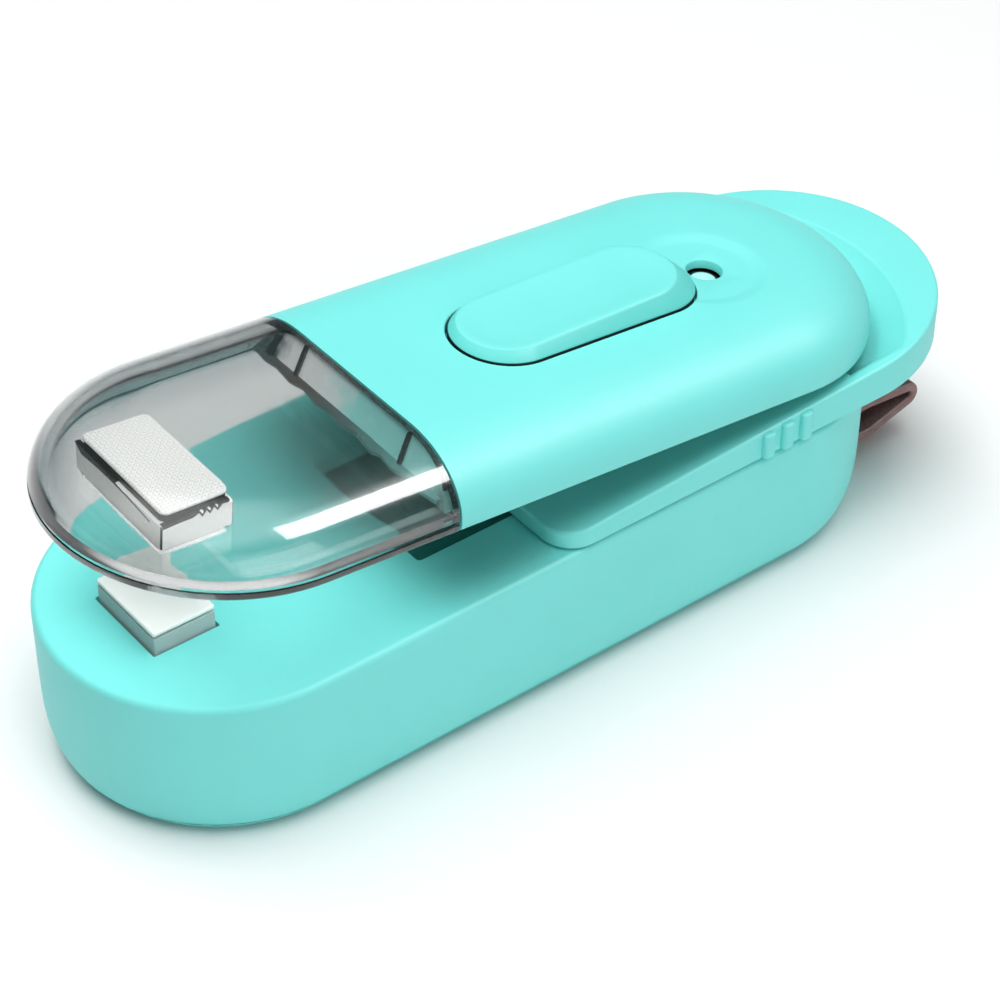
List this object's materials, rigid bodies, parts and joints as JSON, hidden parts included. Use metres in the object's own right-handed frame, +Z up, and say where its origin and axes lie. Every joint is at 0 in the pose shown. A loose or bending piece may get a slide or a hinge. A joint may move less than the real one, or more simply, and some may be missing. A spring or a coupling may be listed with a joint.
{
  "type": "handheld bag heat sealer",
  "caption": "Handheld bag heat sealer: round-ended base with a sealing pad, a tilting press arm with a clear nose and heater head, a lock slide and a strap loop.",
  "frame": {"origin": "middle of the base's underside", "axes": "+Y from the nose to the strap end, +Z up, +X to the right when looking along +Y"},
  "size_m": [0.0414, 0.1192, 0.0414],
  "materials": {
    "turquoise_plastic": "satin moulded plastic",
    "clear_plastic": "clear polished polycarbonate",
    "dark_plastic": "fine matt",
    "pearl_plastic": "frosted pearl",
    "grey_plastic": "matt grey",
    "white_silicone": "matt silicone rubber",
    "woven_sheet": "woven glass cloth, non-stick coated",
    "ceramic": "unglazed ceramic",
    "steel": "plated",
    "spring_steel": "blackened",
    "circuit_board": "solder mask",
    "cell_jacket": "shrink sleeve",
    "wire_jacket": "soft sleeve",
    "strap_leather": "soft grained",
    "lens_plastic": "tinted translucent"
  },
  "bodies": {
    "base": {"anvil_holder": "grey_plastic", "anvil_pad": "white_silicone", "anvil_screw_1": "steel", "anvil_screw_2": "steel", "base_shell": "turquoise_plastic", "battery_bridge_contact": "steel", "battery_contact_left": "steel", "battery_contact_right": "steel", "battery_left": "cell_jacket", "battery_right": "cell_jacket", "battery_spring_front": "spring_steel", "battery_spring_rear": "spring_steel", "bottom_cover": "turquoise_plastic", "cell_lead": "wire_jacket", "cover_screw_1": "steel", "cover_screw_2": "steel", "cover_screw_3": "steel", "cover_screw_4": "steel", "frame_screw_1": "steel", "frame_screw_2": "steel", "frame_screw_3": "steel", "frame_screw_4": "steel", "hinge_frame": "dark_plastic", "hinge_pin": "steel", "main_board": "circuit_board", "power_switch": "dark_plastic", "return_spring": "spring_steel", "strap_bar": "steel", "strap_loop": "strap_leather", "switch_lead": "wire_jacket"},
    "slide": {"lock_slide": "turquoise_plastic", "switch_actuator": "dark_plastic"},
    "battery_door_body": {"battery_door": "turquoise_plastic"},
    "press_arm": {"arm_shell": "turquoise_plastic", "arm_underplate": "dark_plastic", "arm_screw_1": "steel", "arm_screw_2": "steel", "arm_screw_3": "steel", "arm_screw_4": "steel", "arm_bulkhead": "dark_plastic", "clear_nose": "clear_plastic", "jaw_plate": "clear_plastic", "heater_holder": "pearl_plastic", "heater_cap": "woven_sheet", "heater_lead_left": "steel", "heater_lead_right": "steel", "heater_spring": "spring_steel", "arm_board": "circuit_board", "tact_switch": "dark_plastic", "indicator_led": "lens_plastic", "indicator_lens": "lens_plastic", "button_spring": "spring_steel"},
    "heater_head": {"heater_core": "ceramic", "heater_element": "steel", "ptfe_sheet": "woven_sheet"},
    "button": {"press_button": "turquoise_plastic"}
  },
  "joints": [
    {"name": "arm_hinge", "type": "hinge", "parent": "base", "child": "press_arm", "pos_m": [0, 0.04421, 0.02697], "axis": [1, 0, 0], "range_deg": [0, 6.4], "stiffness_Nm_per_rad": 0.6, "springref_deg": -9.74, "deforming": ["return_spring"]},
    {"name": "button_press", "type": "slide", "parent": "press_arm", "child": "button", "axis": [0, -0.1018, -0.9948], "range_m": [0, 0.0008], "stiffness_N_per_m": 500, "springref_m": -0.001, "deforming": ["button_spring"]},
    {"name": "heater_float", "type": "slide", "parent": "press_arm", "child": "heater_head", "axis": [0, 0.1018, 0.9948], "range_m": [0, 0.0006], "stiffness_N_per_m": 1500, "springref_m": -0.001, "deforming": ["heater_spring"]},
    {"name": "lock_travel", "type": "slide", "parent": "base", "child": "slide", "axis": [0, -1, 0], "range_m": [0, 0.003]},
    {"name": "door_slide", "type": "slide", "parent": "base", "child": "battery_door_body", "axis": [0, 1, 0], "range_m": [0, 0.012]}
  ]
}
